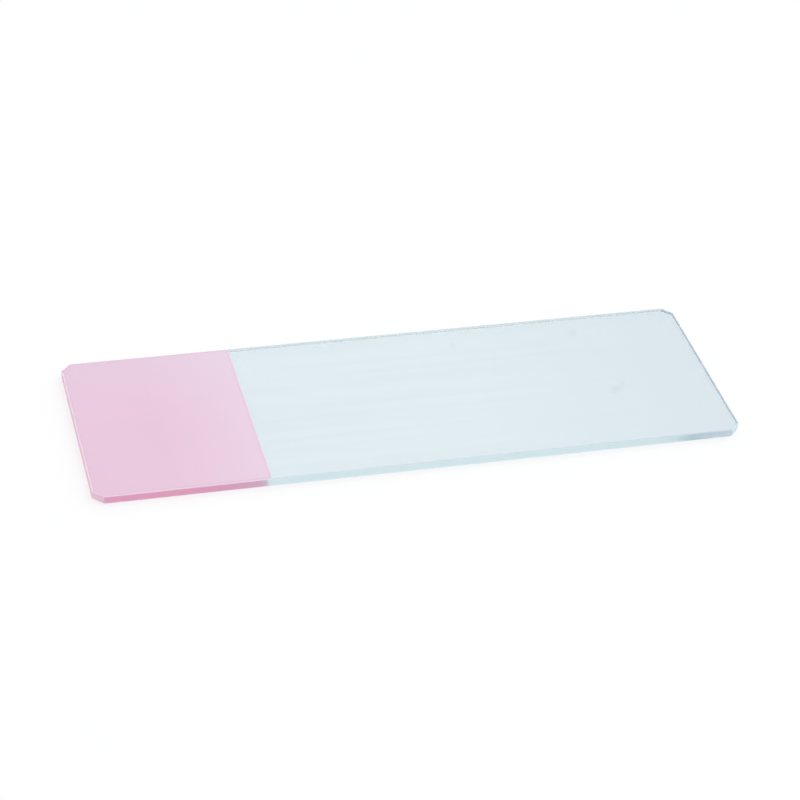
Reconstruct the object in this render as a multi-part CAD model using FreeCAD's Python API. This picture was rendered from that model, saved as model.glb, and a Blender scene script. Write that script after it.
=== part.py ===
"""Microscope slide: a pane of clear glass with ground corners and a writing coat printed on one end.

The slide lies flat. +X runs along its length, away from the coated end; +Y runs across it; +Z is up.
The origin is the centre of the underside. All sizes are in millimetres.
"""

import FreeCAD, Part
import math
import os

# The pane of glass
PANE_LENGTH = 76.2
PANE_WIDTH = 25.4
PANE_THICKNESS = 1.0
CORNER_LEG = 1.2  # how far each ground corner reaches along either edge
ARRIS = 0.08  # leg of the fine 45 degree bevel that takes the sharpness off every rim

# The writing coat, a film printed on the top of one end
COAT_LENGTH = 20.0  # from the end of the pane to the straight inner edge of the coat
COAT_THICKNESS = 0.025
COAT_MARGIN = 0.1  # bare glass left between the coat and the bevel round the rim

# Where things meet
COAT_END_X = -PANE_LENGTH / 2
COAT_INNER_X = COAT_END_X + COAT_LENGTH


def ground_outline(inset):
    """The pane's outline with its four 45 degree corners, moved inwards by inset, as a face at z = 0."""
    half_length = PANE_LENGTH / 2 - inset
    half_width = PANE_WIDTH / 2 - inset
    # Moving a 45 degree side in by the same distance as its neighbours shortens its leg by this much
    leg = CORNER_LEG - (2 - math.sqrt(2)) * inset
    quarter = [(half_length, half_width - leg), (half_length - leg, half_width)]
    corners = quarter + [(-x, y) for x, y in reversed(quarter)]
    corners += [(-x, -y) for x, y in corners]
    points = [FreeCAD.Vector(x, y, 0) for x, y in corners]
    return Part.Face(Part.makePolygon(points + points[:1]))


def glass_plate():
    """The pane, bevelled round both faces, with its top face divided at the coat's inner edge."""
    pane = ground_outline(0).extrude(FreeCAD.Vector(0, 0, PANE_THICKNESS))
    rims = [edge for edge in pane.Edges if edge.BoundBox.ZLength < ARRIS]
    pane = pane.makeChamfer(ARRIS, rims)
    # The bare glass beyond the coat is a face of its own: it is where the specimen goes
    corner = FreeCAD.Vector(COAT_END_X, -PANE_WIDTH / 2, PANE_THICKNESS)
    coated_end = Part.makePlane(COAT_LENGTH, PANE_WIDTH, corner)
    divided, _ = pane.generalFuse([coated_end])
    return divided.Solids[0]


def writing_coat():
    """The film on the coated end: it follows the ground corners and stops at a straight line across."""
    film = ground_outline(ARRIS + COAT_MARGIN).extrude(FreeCAD.Vector(0, 0, COAT_THICKNESS))
    corner = FreeCAD.Vector(COAT_END_X, -PANE_WIDTH / 2, 0)
    printed_end = Part.makeBox(COAT_LENGTH, PANE_WIDTH, COAT_THICKNESS, corner)
    film = film.common(printed_end)
    film.translate(FreeCAD.Vector(0, 0, PANE_THICKNESS))
    return film.Solids[0]


def main():
    os.makedirs("parts", exist_ok=True)
    glass_plate().exportStep("parts/glass_plate.step")
    writing_coat().exportStep("parts/writing_coat.step")


main()
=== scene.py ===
"""A microscope slide lying on a pale table: a clear pane with ground corners and a pink writing coat."""

import math

import bpy
from mathutils import Matrix, Vector


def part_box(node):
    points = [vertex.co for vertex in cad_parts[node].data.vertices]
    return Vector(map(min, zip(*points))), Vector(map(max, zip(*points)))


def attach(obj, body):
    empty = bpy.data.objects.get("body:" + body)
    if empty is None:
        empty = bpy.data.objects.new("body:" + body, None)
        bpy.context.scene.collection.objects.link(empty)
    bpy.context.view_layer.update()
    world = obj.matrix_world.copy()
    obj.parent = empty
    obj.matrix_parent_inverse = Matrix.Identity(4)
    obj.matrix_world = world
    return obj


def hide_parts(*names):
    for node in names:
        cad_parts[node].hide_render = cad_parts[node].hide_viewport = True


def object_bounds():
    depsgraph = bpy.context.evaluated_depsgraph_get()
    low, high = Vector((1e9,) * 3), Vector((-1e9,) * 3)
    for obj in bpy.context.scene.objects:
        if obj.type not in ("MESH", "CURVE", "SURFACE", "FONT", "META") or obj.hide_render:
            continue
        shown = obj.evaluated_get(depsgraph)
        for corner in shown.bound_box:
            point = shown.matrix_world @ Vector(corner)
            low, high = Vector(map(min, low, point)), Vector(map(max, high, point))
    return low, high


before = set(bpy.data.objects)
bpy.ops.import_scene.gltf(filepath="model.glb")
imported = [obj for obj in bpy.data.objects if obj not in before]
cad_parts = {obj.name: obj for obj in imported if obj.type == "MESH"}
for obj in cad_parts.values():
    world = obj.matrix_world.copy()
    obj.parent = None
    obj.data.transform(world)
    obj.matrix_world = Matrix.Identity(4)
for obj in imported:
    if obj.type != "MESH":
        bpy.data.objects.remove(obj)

CAD_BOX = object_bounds()
MM = 0.001
MICRON = 1e-6

# ---------------------------------------------------------------- sizes, read from the frame
PANE_LOW, PANE_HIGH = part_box("glass_plate")
COAT_LOW, COAT_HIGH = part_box("writing_coat")
PANE_SIZE = PANE_HIGH - PANE_LOW
COAT_SIZE = COAT_HIGH - COAT_LOW


def reach_of_corner(node, low, high):
    """How far the ground corners of a node reach along its long edge."""
    on_edge = [v.co.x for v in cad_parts[node].data.vertices if v.co.y > high.y - MICRON]
    return min(on_edge) - low.x


PANE_LEG = reach_of_corner("glass_plate", PANE_LOW, PANE_HIGH)
COAT_LEG = reach_of_corner("writing_coat", COAT_LOW, COAT_HIGH)

# ---------------------------------------------------------------- finish of the pane and the coat
ARRIS = 0.08 * MM  # leg of the rubbed 45 degree bevel round both faces
COAT_GLOW_FADE = 5.0 * MM  # over this length the painted pink glow on the cut edge below the coat fades out; it stands in for the coat's light carried in the glass
CUT_TURN = math.radians(60)  # edges that turn less stay sharp, as between an end and its ground corner
ARRIS_MATT = 0.6  # share of the bevel that is rubbed matt and scatters light
CORNER_MATT = 0.5  # the same for the ground corners
CLEAR_END_MATT = 0.35  # the same for the cut face of the clear end
SKIN = 4 * MICRON  # the rim starts this far in from the two faces
WELD = 0.1 * MICRON  # points nearer than this are one
SEAT = 8 * MICRON  # how far the coat is keyed into the glass, so that no air lies between them
BEAD = 0.35 * MM  # width of the raised rim that the coat dries with
INNER_CORNER = 0.2  # rounding of the coat's inner corners, in bead widths
# The bead from its foot to the flat of the coat: (bead widths in from the edge, share of the thickness)
BEAD_PROFILE = ((0.02, 0.62), (0.08, 0.92), (0.22, 1.0), (0.55, 0.95), (1.0, 0.88))
GRAIN_HEIGHT = 0.006 * MM
GRAIN_STRENGTH = 0.35

# ---------------------------------------------------------------- colours and patterns of the glass
GLASS_COOL = (0.860, 0.927, 0.962, 1)
GLASS_CLOUD = (0.866, 0.942, 0.963, 1)
GLASS_STREAK = (0.880, 0.952, 0.974, 1)
GLASS_FAR_END = (0.820, 0.885, 0.930, 1)
GLASS_UNDER_COAT = (0.96, 0.98, 0.98, 1)
WATER_MARK = (0.800, 0.840, 0.915, 1)
# The edges are one glass with the faces; their tints are chosen for how each edge looks
CUT_EDGE = (0.94, 0.99, 1.0, 1)
# Near the coated end the cut edge and the bevel are painted pink: a painted glow for the coat's light carried
# in the glass
CUT_EDGE_COAT_GLOW = (1.0, 0.85, 0.93, 1)
RUBBED_BEVEL = (0.90, 0.95, 0.98, 1)
RUBBED_BEVEL_COAT_GLOW = (1.0, 0.93, 1.0, 1)
CUT_CLEAR_END = (0.82, 0.98, 0.98, 1)
GLASS_DEPTH = (0.62, 0.86, 0.88, 1)  # what light keeps of its colour on its way through
GLASS_DENSITY = 18.0
GLASS_IOR = 1.52
FAR_END_START = 8 * MM  # from here to the clear end the glass turns to the far end's colour
FAR_END_SHARE = 0.8
MARK_SHARE = 0.6  # how much of a water mark's colour shows
MARK_ROUGHNESS = 0.12
CUT_ROUGHNESS = (0.29, 0.36)
CORNER_ROUGHNESS = (0.6, 0.8)
STREAK_SCALE = (14.0, 700.0, 700.0)  # drawn out along the pane
CUT_SCALE = (40.0, 40.0, 4000.0)  # drawn out along the cut edges
GLASS_CLOUD_SCALE = 90.0

# ---------------------------------------------------------------- colours and patterns of the coat
ENAMEL = (0.752, 0.496, 0.634, 1)
ENAMEL_CLOUD = (0.764, 0.514, 0.650, 1)
# Painted sheen: the enamel turns lighter and cooler towards its inner end and its back
ENAMEL_INNER_SHEEN = (0.795, 0.645, 0.757, 1)
ENAMEL_BACK_SHEEN = (0.720, 0.655, 0.770, 1)
ENAMEL_GRAIN = (0.80, 0.62, 0.74, 1)
ENAMEL_BEAD = (0.823, 0.490, 0.660, 1)
ENAMEL_UNDERSIDE_GLOW = (0.94, 0.62, 0.767, 1)  # a lighter, pinker copy of the enamel: painted glow that stands in for the light passing through the coat, lending the cut edge below it its pink
INNER_SHEEN_SHARE = 0.6
BACK_SHEEN_SHARE = 0.25
GRAIN_SHARE = 0.25
BEAD_SHARE = 0.8
ENAMEL_ROUGHNESS = (0.48, 0.62)
ENAMEL_IOR = 1.5
ENAMEL_CLOUD_SCALE = 70.0
GRAIN_SCALE = 9000.0  # for the coat's grain and for the ground corners

# The part of a noise's range that a pattern uses, for soft clouds and for grain
SOFT_BAND = (0.35, 0.65)
GRAIN_BAND = (0.3, 0.7)

# Faint dried water marks on the clear glass: (middle on the pane, radius)
WATER_MARKS = (
    (Vector((24.4, 9.8)) * MM, 0.55 * MM),
    (Vector((25.9, -2.5)) * MM, 0.60 * MM),
    (Vector((27.0, -1.7)) * MM, 0.35 * MM),
    (Vector((8.9, 9.3)) * MM, 0.30 * MM),
)

# ---------------------------------------------------------------- the view
CAMERA_AZIMUTH = -17.2
CAMERA_ELEVATION = 36.2
CAMERA_DISTANCE = 0.292
CAMERA_ROLL = 4.6
CAMERA_LENS = 112.0
SENSOR = 36.0

# ---------------------------------------------------------------- the light
FILL_LIGHT = 0.66  # the even light from all round
KEY_LIGHT = 1.5  # what the bright side adds at its middle
KEY_FOCUS = 3.0  # how fast the bright side fades away from its middle
KEY_SIDE = Vector((0.45, 0.30, 0.55))  # where its middle lies
LIGHT_COLOUR = (0.98, 0.99, 1.0, 1)
WHITE = (1, 1, 1, 1)
CEILING = (0.60, 0.67, 0.73, 1)
CEILING_BAND = (0.15, 0.9)  # heights between which the white walls turn to the ceiling
BOUNCES = 64  # light zigzags many times between the faces of the pane before it comes out of an edge
MATT_BOUNCES = 16

# ---------------------------------------------------------------- the table
TABLE_HALF = 4.0
TABLE_DROP = 40 * MICRON  # how far it lies below the slide
TABLE_WHITE = (0.93, 0.93, 0.93, 1)
TABLE_GLOW = 0.7  # share of plain white in what the eye sees of it


# ================================================================ node helpers
class Graph:
    """Adds nodes to a tree, sets them and wires them in one call."""

    def __init__(self, tree):
        self.tree = tree

    def node(self, kind, inputs=None, **settings):
        made = self.tree.nodes.new(kind)
        for name, value in settings.items():
            setattr(made, name, value)
        for key, value in (inputs or {}).items():
            self.feed(made.inputs[key], value)
        return made

    def feed(self, socket, value):
        if isinstance(value, bpy.types.NodeSocket):
            self.tree.links.new(value, socket)
        elif isinstance(value, list):
            for each in value:
                self.feed(socket, each)
        else:
            socket.default_value = value

    def math(self, operation, *values):
        return self.node("ShaderNodeMath", dict(enumerate(values)), operation=operation).outputs[0]


# ================================================================ geometry
def sized_tree(name, sizes):
    """A Geometry Nodes tree with a named length input for each size, and its graph."""
    tree = bpy.data.node_groups.new(name, "GeometryNodeTree")
    tree.interface.new_socket("Geometry", in_out="INPUT", socket_type="NodeSocketGeometry")
    for size in sizes:
        tree.interface.new_socket(size, in_out="INPUT", socket_type="NodeSocketFloat")
    tree.interface.new_socket("Geometry", in_out="OUTPUT", socket_type="NodeSocketGeometry")
    graph = Graph(tree)
    given = graph.node("NodeGroupInput").outputs
    return tree, graph, given


def ground_outline(graph, length, width, leg):
    """A flat face: a rectangle whose corners are ground off at 45 degrees."""
    rectangle = graph.node("GeometryNodeCurvePrimitiveQuadrilateral", {"Width": length, "Height": width})
    ground = graph.node("GeometryNodeFilletCurve",
                        {"Curve": rectangle.outputs[0], "Count": 1, "Radius": leg, "Limit Radius": True},
                        mode="POLY")
    filled = graph.node("GeometryNodeFillCurve", {"Curve": ground.outputs[0]}, mode="NGONS")
    return filled.outputs[0]


def finish_tree(graph, mesh, material):
    """Ends a tree: plain faces, welded, in their material."""
    welded = graph.node("GeometryNodeMergeByDistance", {"Geometry": mesh, "Distance": WELD})
    plain = graph.node("GeometryNodeRealizeInstances", {"Geometry": welded.outputs[0]})
    painted = graph.node("GeometryNodeSetMaterial", {"Geometry": plain.outputs[0], "Material": material})
    graph.node("NodeGroupOutput", {"Geometry": painted.outputs[0]})


def closed_slab(graph, base, rings):
    """Raises a closed solid on a flat face by rings of (rise, x scale, y scale), each over the last."""
    mesh = base
    top = None
    position = graph.node("GeometryNodeInputPosition").outputs[0]
    for rise, scale_x, scale_y in rings:
        offset = graph.node("ShaderNodeCombineXYZ", {"Z": rise}).outputs[0]
        inputs = {"Mesh": mesh, "Offset": offset, "Offset Scale": 1.0, "Individual": False}
        if top:
            inputs["Selection"] = top
        raised = graph.node("GeometryNodeExtrudeMesh", inputs, mode="FACES")
        top = raised.outputs["Top"]
        scale = graph.node("ShaderNodeCombineXYZ", {"X": scale_x, "Y": scale_y, "Z": 1.0}).outputs[0]
        drawn_in = graph.node("ShaderNodeVectorMath", {0: position, 1: scale}, operation="MULTIPLY")
        moved = graph.node("GeometryNodeSetPosition", {
            "Geometry": raised.outputs["Mesh"], "Selection": top, "Position": drawn_in.outputs[0]})
        mesh = moved.outputs[0]
    underside = graph.node("GeometryNodeFlipFaces", {"Mesh": base}).outputs[0]
    return graph.node("GeometryNodeJoinGeometry", {"Geometry": [underside, mesh]}).outputs[0]


def pane_tree(material):
    """The pane: its outline, raised to its thickness."""
    tree, graph, given = sized_tree("ground_pane", ("Length", "Width", "Thickness", "Corner Leg"))
    base = ground_outline(graph, given["Length"], given["Width"], given["Corner Leg"])
    finish_tree(graph, closed_slab(graph, base, [(given["Thickness"], 1.0, 1.0)]), material)
    return tree


def coat_tree(material):
    """The coat: its outline, with ground corners at its outer end only, raised with a dried bead round it."""
    tree, graph, given = sized_tree("printed_coat", ("Length", "Width", "Thickness", "Corner Leg", "Bead"))
    place = graph.node("GeometryNodeInputPosition").outputs[0]
    x = graph.node("ShaderNodeSeparateXYZ", {0: place}).outputs["X"]
    ground = graph.math("MULTIPLY", graph.math("LESS_THAN", x, 0.0), given["Corner Leg"])
    leg = graph.math("MAXIMUM", ground, graph.math("MULTIPLY", given["Bead"], INNER_CORNER))
    base = ground_outline(graph, given["Length"], given["Width"], leg)
    rings = []
    last_inset, last_height = 0.0, 0.0
    for inset, height in BEAD_PROFILE:
        rise = graph.math("MULTIPLY", given["Thickness"], height - last_height)
        scales = []
        for side in ("Length", "Width"):
            half = graph.math("MULTIPLY", given[side], 0.5)
            before = graph.math("SUBTRACT", half, graph.math("MULTIPLY", given["Bead"], last_inset))
            after = graph.math("SUBTRACT", half, graph.math("MULTIPLY", given["Bead"], inset))
            scales.append(graph.math("DIVIDE", after, before))
        rings.append((rise, *scales))
        last_inset, last_height = inset, height
    finish_tree(graph, closed_slab(graph, base, rings), material)
    return tree


def grow(name, tree, values, place, modifiers=()):
    """Runs a tree once and keeps the result as a plain mesh piece, with its place in its mesh."""
    seed = bpy.data.objects.new(name, bpy.data.meshes.new(name + "_seed"))
    bpy.context.scene.collection.objects.link(seed)
    grown = seed.modifiers.new(tree.name, "NODES")
    grown.node_group = tree
    sockets = {item.name: item.identifier for item in tree.interface.items_tree if item.in_out == "INPUT"}
    for size, value in values.items():
        grown[sockets[size]] = value
    for kind, settings in modifiers:
        extra = seed.modifiers.new(kind.lower(), kind)
        for key, value in settings.items():
            setattr(extra, key, value)
    bpy.context.view_layer.update()
    mesh = bpy.data.meshes.new_from_object(seed.evaluated_get(bpy.context.evaluated_depsgraph_get()))
    seed.modifiers.clear()
    if not mesh.materials[0]:
        mesh.materials.pop(index=0)  # the empty slot that Set Material leaves first
    mesh.transform(Matrix.Translation(place))
    seed.data = mesh
    mesh.name = name
    return seed


# ================================================================ materials
def new_material(name):
    material = bpy.data.materials.new(name)
    material.use_nodes = True
    material.node_tree.nodes.clear()
    return material, Graph(material.node_tree)


def object_coordinates(graph):
    return graph.node("ShaderNodeTexCoord").outputs["Object"]


def stretched(graph, coordinates, scale):
    """The coordinates scaled differently along each axis, so that a noise drawn on them runs one way."""
    return graph.node("ShaderNodeMapping", {"Vector": coordinates, "Scale": scale}).outputs[0]


def noise(graph, coordinates, scale, detail=2.0, roughness=0.5):
    made = graph.node("ShaderNodeTexNoise",
                      {"Vector": coordinates, "Scale": scale, "Detail": detail, "Roughness": roughness})
    return made.outputs[0]


def span(graph, value, low, high, to_low=0.0, to_high=1.0):
    """Value from low..high, to to_low..to_high, clamped."""
    made = graph.node("ShaderNodeMapRange", {
        "Value": value, "From Min": low, "From Max": high, "To Min": to_low, "To Max": to_high})
    return made.outputs[0]


def within(graph, value, low, high):
    """1 where value lies between low and high, and 0 elsewhere."""
    above, below = graph.math("GREATER_THAN", value, low), graph.math("LESS_THAN", value, high)
    return graph.math("MULTIPLY", above, below)


def blend(graph, share, first, second):
    """A colour between two, by share."""
    made = graph.node("ShaderNodeMix", data_type="RGBA")
    graph.feed(made.inputs["Factor"], share)
    graph.feed(made.inputs[6], first)
    graph.feed(made.inputs[7], second)
    return made.outputs[2]


def spot(graph, x, y, middle, radius, soft=0.35):
    """1 inside a soft round spot on the face of the pane, and 0 away from it."""
    across = graph.math("SUBTRACT", x, middle[0])
    along = graph.math("SUBTRACT", y, middle[1])
    squares = graph.math("ADD", graph.math("MULTIPLY", across, across), graph.math("MULTIPLY", along, along))
    return span(graph, graph.math("SQRT", squares), radius * (1 - soft), radius * (1 + soft), 1.0, 0.0)


def clear_glass():
    """Soda-lime glass, aqua in depth, with faint streaks and water marks, cut edges and ground corners, and a
    painted pink glow on its edges near the coat.
    """
    material, graph = new_material("clear_glass")
    place = object_coordinates(graph)
    x, y, z = graph.node("ShaderNodeSeparateXYZ", {0: place}).outputs
    rim = within(graph, z, SKIN, PANE_SIZE.z - SKIN)
    reach = graph.math("ADD", graph.math("ABSOLUTE", x), graph.math("ABSOLUTE", y))
    corner = graph.math("GREATER_THAN", reach, (PANE_SIZE.x + PANE_SIZE.y) / 2 - PANE_LEG - SKIN)
    corner = graph.math("MULTIPLY", corner, rim)

    along = noise(graph, stretched(graph, place, STREAK_SCALE), 1.0, 3.0, 0.6)
    streaks = span(graph, along, *SOFT_BAND)
    clouds = span(graph, noise(graph, place, GLASS_CLOUD_SCALE), *SOFT_BAND)
    cool = blend(graph, clouds, GLASS_COOL, GLASS_CLOUD)
    tint = blend(graph, streaks, cool, GLASS_STREAK)
    far_end = span(graph, x, FAR_END_START, PANE_HIGH.x, 0.0, FAR_END_SHARE)
    tint = blend(graph, far_end, tint, GLASS_FAR_END)
    marks = 0.0
    for middle, radius in WATER_MARKS:
        marks = graph.math("MAXIMUM", marks, spot(graph, x, y, middle, radius))
    tint = blend(graph, graph.math("MULTIPLY", marks, MARK_SHARE), tint, WATER_MARK)
    under_coat = graph.math("LESS_THAN", x, COAT_HIGH.x)
    tint = blend(graph, under_coat, tint, GLASS_UNDER_COAT)
    # painted pink glow on the cut edge and the bevel, fading away from the coat
    coat_glow = span(graph, x, COAT_HIGH.x - COAT_GLOW_FADE, COAT_HIGH.x, 1.0, 0.0)
    cut_edge = blend(graph, coat_glow, CUT_EDGE, CUT_EDGE_COAT_GLOW)
    tint = blend(graph, rim, tint, cut_edge)
    bevel = graph.math("SUBTRACT", rim, within(graph, z, ARRIS, PANE_SIZE.z - ARRIS))
    rubbed = blend(graph, coat_glow, RUBBED_BEVEL, RUBBED_BEVEL_COAT_GLOW)
    tint = blend(graph, bevel, tint, rubbed)
    clear_end = graph.math("MULTIPLY", rim, graph.math("GREATER_THAN", x, PANE_HIGH.x - PANE_LEG))
    tint = blend(graph, clear_end, tint, CUT_CLEAR_END)
    matt = 0.0
    matt_parts = ((bevel, ARRIS_MATT), (corner, CORNER_MATT), (clear_end, CLEAR_END_MATT))
    for ground_part, share in matt_parts:
        matt = graph.math("MAXIMUM", matt, graph.math("MULTIPLY", ground_part, share))

    drawn = noise(graph, stretched(graph, place, CUT_SCALE), 1.0)
    ground = noise(graph, place, GRAIN_SCALE, 3.0, 0.7)
    rough = graph.math("MULTIPLY", rim, span(graph, drawn, *GRAIN_BAND, *CUT_ROUGHNESS))
    rough_corner = graph.math("MULTIPLY", corner, span(graph, ground, *GRAIN_BAND, *CORNER_ROUGHNESS))
    rough = graph.math("MAXIMUM", rough, rough_corner)
    rough = graph.math("MAXIMUM", rough, graph.math("MULTIPLY", marks, MARK_ROUGHNESS))
    shader = graph.node("ShaderNodeBsdfPrincipled", {
        "Base Color": tint, "Roughness": rough, "IOR": GLASS_IOR,
        "Transmission Weight": graph.math("SUBTRACT", 1.0, matt)})
    depth = graph.node("ShaderNodeVolumeAbsorption", {"Color": GLASS_DEPTH, "Density": GLASS_DENSITY})
    graph.node("ShaderNodeOutputMaterial", {"Surface": shader.outputs[0], "Volume": depth.outputs[0]})
    return material


def pink_coat():
    """Satin printed enamel with a very fine grain, stronger at its bead, with a painted sheen towards its
    inner end and its back, and a lighter, pinker painted glow on its underside.
    """
    material, graph = new_material("pink_coat")
    place = object_coordinates(graph)
    x, y, z = graph.node("ShaderNodeSeparateXYZ", {0: place}).outputs
    upper = graph.math("GREATER_THAN", z, PANE_HIGH.z - SEAT / 2)
    crest = span(graph, z, COAT_LOW.z + 0.9 * COAT_SIZE.z, COAT_HIGH.z - 0.02 * COAT_SIZE.z)
    inner = span(graph, x, COAT_LOW.x + 0.45 * COAT_SIZE.x, COAT_HIGH.x)
    back = span(graph, y, COAT_LOW.y + 0.5 * COAT_SIZE.y, COAT_HIGH.y)
    clouds = noise(graph, place, ENAMEL_CLOUD_SCALE)
    grain = noise(graph, place, GRAIN_SCALE, 3.0, 0.7)
    body = blend(graph, span(graph, clouds, *SOFT_BAND), ENAMEL, ENAMEL_CLOUD)
    # painted sheen, lighter towards the inner end and the back
    body = blend(graph, graph.math("MULTIPLY", inner, INNER_SHEEN_SHARE), body, ENAMEL_INNER_SHEEN)
    body = blend(graph, graph.math("MULTIPLY", back, BACK_SHEEN_SHARE), body, ENAMEL_BACK_SHEEN)
    body = blend(graph, span(graph, grain, *GRAIN_BAND, 0.0, GRAIN_SHARE), body, ENAMEL_GRAIN)
    body = blend(graph, graph.math("MULTIPLY", crest, BEAD_SHARE), body, ENAMEL_BEAD)
    # painted glow: the underside is a lighter, pinker copy of the enamel
    body = blend(graph, upper, ENAMEL_UNDERSIDE_GLOW, body)
    bump = graph.node("ShaderNodeBump",
                      {"Strength": GRAIN_STRENGTH, "Distance": GRAIN_HEIGHT, "Height": grain})
    face = graph.node("ShaderNodeBsdfPrincipled", {
        "Base Color": body, "Roughness": span(graph, grain, *GRAIN_BAND, *ENAMEL_ROUGHNESS),
        "IOR": ENAMEL_IOR, "Normal": bump.outputs[0]})
    graph.node("ShaderNodeOutputMaterial", {"Surface": face.outputs[0]})
    return material


# ================================================================ pieces
def make_pane():
    sizes = {"Length": PANE_SIZE.x, "Width": PANE_SIZE.y, "Thickness": PANE_SIZE.z, "Corner Leg": PANE_LEG}
    middle = (PANE_LOW + PANE_HIGH) / 2
    bevel = ("BEVEL", {"width": ARRIS, "segments": 1, "limit_method": "ANGLE", "angle_limit": CUT_TURN})
    pane = grow("pane", pane_tree(clear_glass()), sizes, (middle.x, middle.y, PANE_LOW.z), [bevel])
    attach(pane, "root")
    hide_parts("glass_plate")


def make_coat():
    sizes = {"Length": COAT_SIZE.x, "Width": COAT_SIZE.y, "Thickness": COAT_SIZE.z + SEAT,
             "Corner Leg": COAT_LEG, "Bead": BEAD}
    middle = (COAT_LOW + COAT_HIGH) / 2
    coat = grow("coat", coat_tree(pink_coat()), sizes, (middle.x, middle.y, COAT_LOW.z - SEAT))
    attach(coat, "root")
    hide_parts("writing_coat")


# ================================================================ table, light and camera
def in_sight(graph):
    """1 for what the eye meets, straight, mirrored or through glass, and 0 for light between things."""
    path = graph.node("ShaderNodeLightPath").outputs
    beyond_glass = graph.math("MAXIMUM", path["Is Glossy Ray"], path["Is Transmission Ray"])
    return graph.math("MAXIMUM", path["Is Camera Ray"], beyond_glass)


def make_table():
    corners = [(side_x * TABLE_HALF, side_y * TABLE_HALF, -TABLE_DROP)
               for side_x, side_y in ((-1, -1), (1, -1), (1, 1), (-1, 1))]
    mesh = bpy.data.meshes.new("table")
    mesh.from_pydata(corners, [], [(0, 1, 2, 3)])
    table = bpy.data.objects.new("table", mesh)
    bpy.context.scene.collection.objects.link(table)
    material, graph = new_material("table_white")
    plain = graph.node("ShaderNodeBsdfDiffuse", {"Color": TABLE_WHITE})
    glow = graph.node("ShaderNodeEmission", {"Color": WHITE, "Strength": 1.0})
    share = graph.math("MULTIPLY", in_sight(graph), TABLE_GLOW)
    mixed = graph.node("ShaderNodeMixShader", {0: share, 1: plain.outputs[0], 2: glow.outputs[0]})
    graph.node("ShaderNodeOutputMaterial", {"Surface": mixed.outputs[0]})
    mesh.materials.append(material)


def make_world():
    """White walls that turn to a softer, cooler ceiling, and an even light with one broad bright side."""
    world = bpy.data.worlds.new("studio")
    world.use_nodes = True
    world.node_tree.nodes.clear()
    graph = Graph(world.node_tree)
    direction = graph.node("ShaderNodeTexCoord").outputs["Generated"]
    height = graph.node("ShaderNodeSeparateXYZ", {0: direction}).outputs["Z"]
    walls = blend(graph, span(graph, height, *CEILING_BAND), WHITE, CEILING)
    seen = graph.node("ShaderNodeBackground", {"Color": walls, "Strength": 1.0})
    bright_side = {0: direction, 1: KEY_SIDE.normalized()}
    facing = graph.node("ShaderNodeVectorMath", bright_side, operation="DOT_PRODUCT")
    key = graph.math("POWER", graph.math("MAXIMUM", facing.outputs["Value"], 0.0), KEY_FOCUS)
    level = graph.math("ADD", FILL_LIGHT, graph.math("MULTIPLY", key, KEY_LIGHT))
    light = graph.node("ShaderNodeBackground", {"Color": LIGHT_COLOUR, "Strength": level})
    mixed = graph.node("ShaderNodeMixShader", {0: in_sight(graph), 1: light.outputs[0], 2: seen.outputs[0]})
    graph.node("ShaderNodeOutputWorld", {"Surface": mixed.outputs[0]})
    bpy.context.scene.world = world


def make_camera():
    low, high = CAD_BOX
    target = (Vector(low) + Vector(high)) / 2
    azimuth = math.radians(CAMERA_AZIMUTH)
    elevation = math.radians(CAMERA_ELEVATION)
    away = Vector((math.sin(azimuth) * math.cos(elevation), -math.cos(azimuth) * math.cos(elevation),
                   math.sin(elevation)))
    lens = bpy.data.cameras.new("camera")
    lens.sensor_width = SENSOR
    lens.lens = CAMERA_LENS
    lens.clip_start = 0.01
    camera = bpy.data.objects.new("camera", lens)
    aim = (-away).to_track_quat("-Z", "Y").to_matrix()
    turn = Matrix.Rotation(math.radians(CAMERA_ROLL), 3, "Z")
    camera.matrix_world = Matrix.Translation(target + away * CAMERA_DISTANCE) @ (aim @ turn).to_4x4()
    bpy.context.scene.collection.objects.link(camera)
    bpy.context.scene.camera = camera


def set_up_render():
    scene = bpy.context.scene
    scene.view_settings.view_transform = "Standard"
    scene.cycles.max_bounces = BOUNCES
    scene.cycles.diffuse_bounces = MATT_BOUNCES
    scene.cycles.glossy_bounces = BOUNCES
    scene.cycles.transmission_bounces = BOUNCES
    # Glass stays clear to light that has met something matt, so that none is lost under the slide
    scene.cycles.blur_glossy = 0.0


make_camera()
make_pane()
make_coat()
make_table()
make_world()
set_up_render()
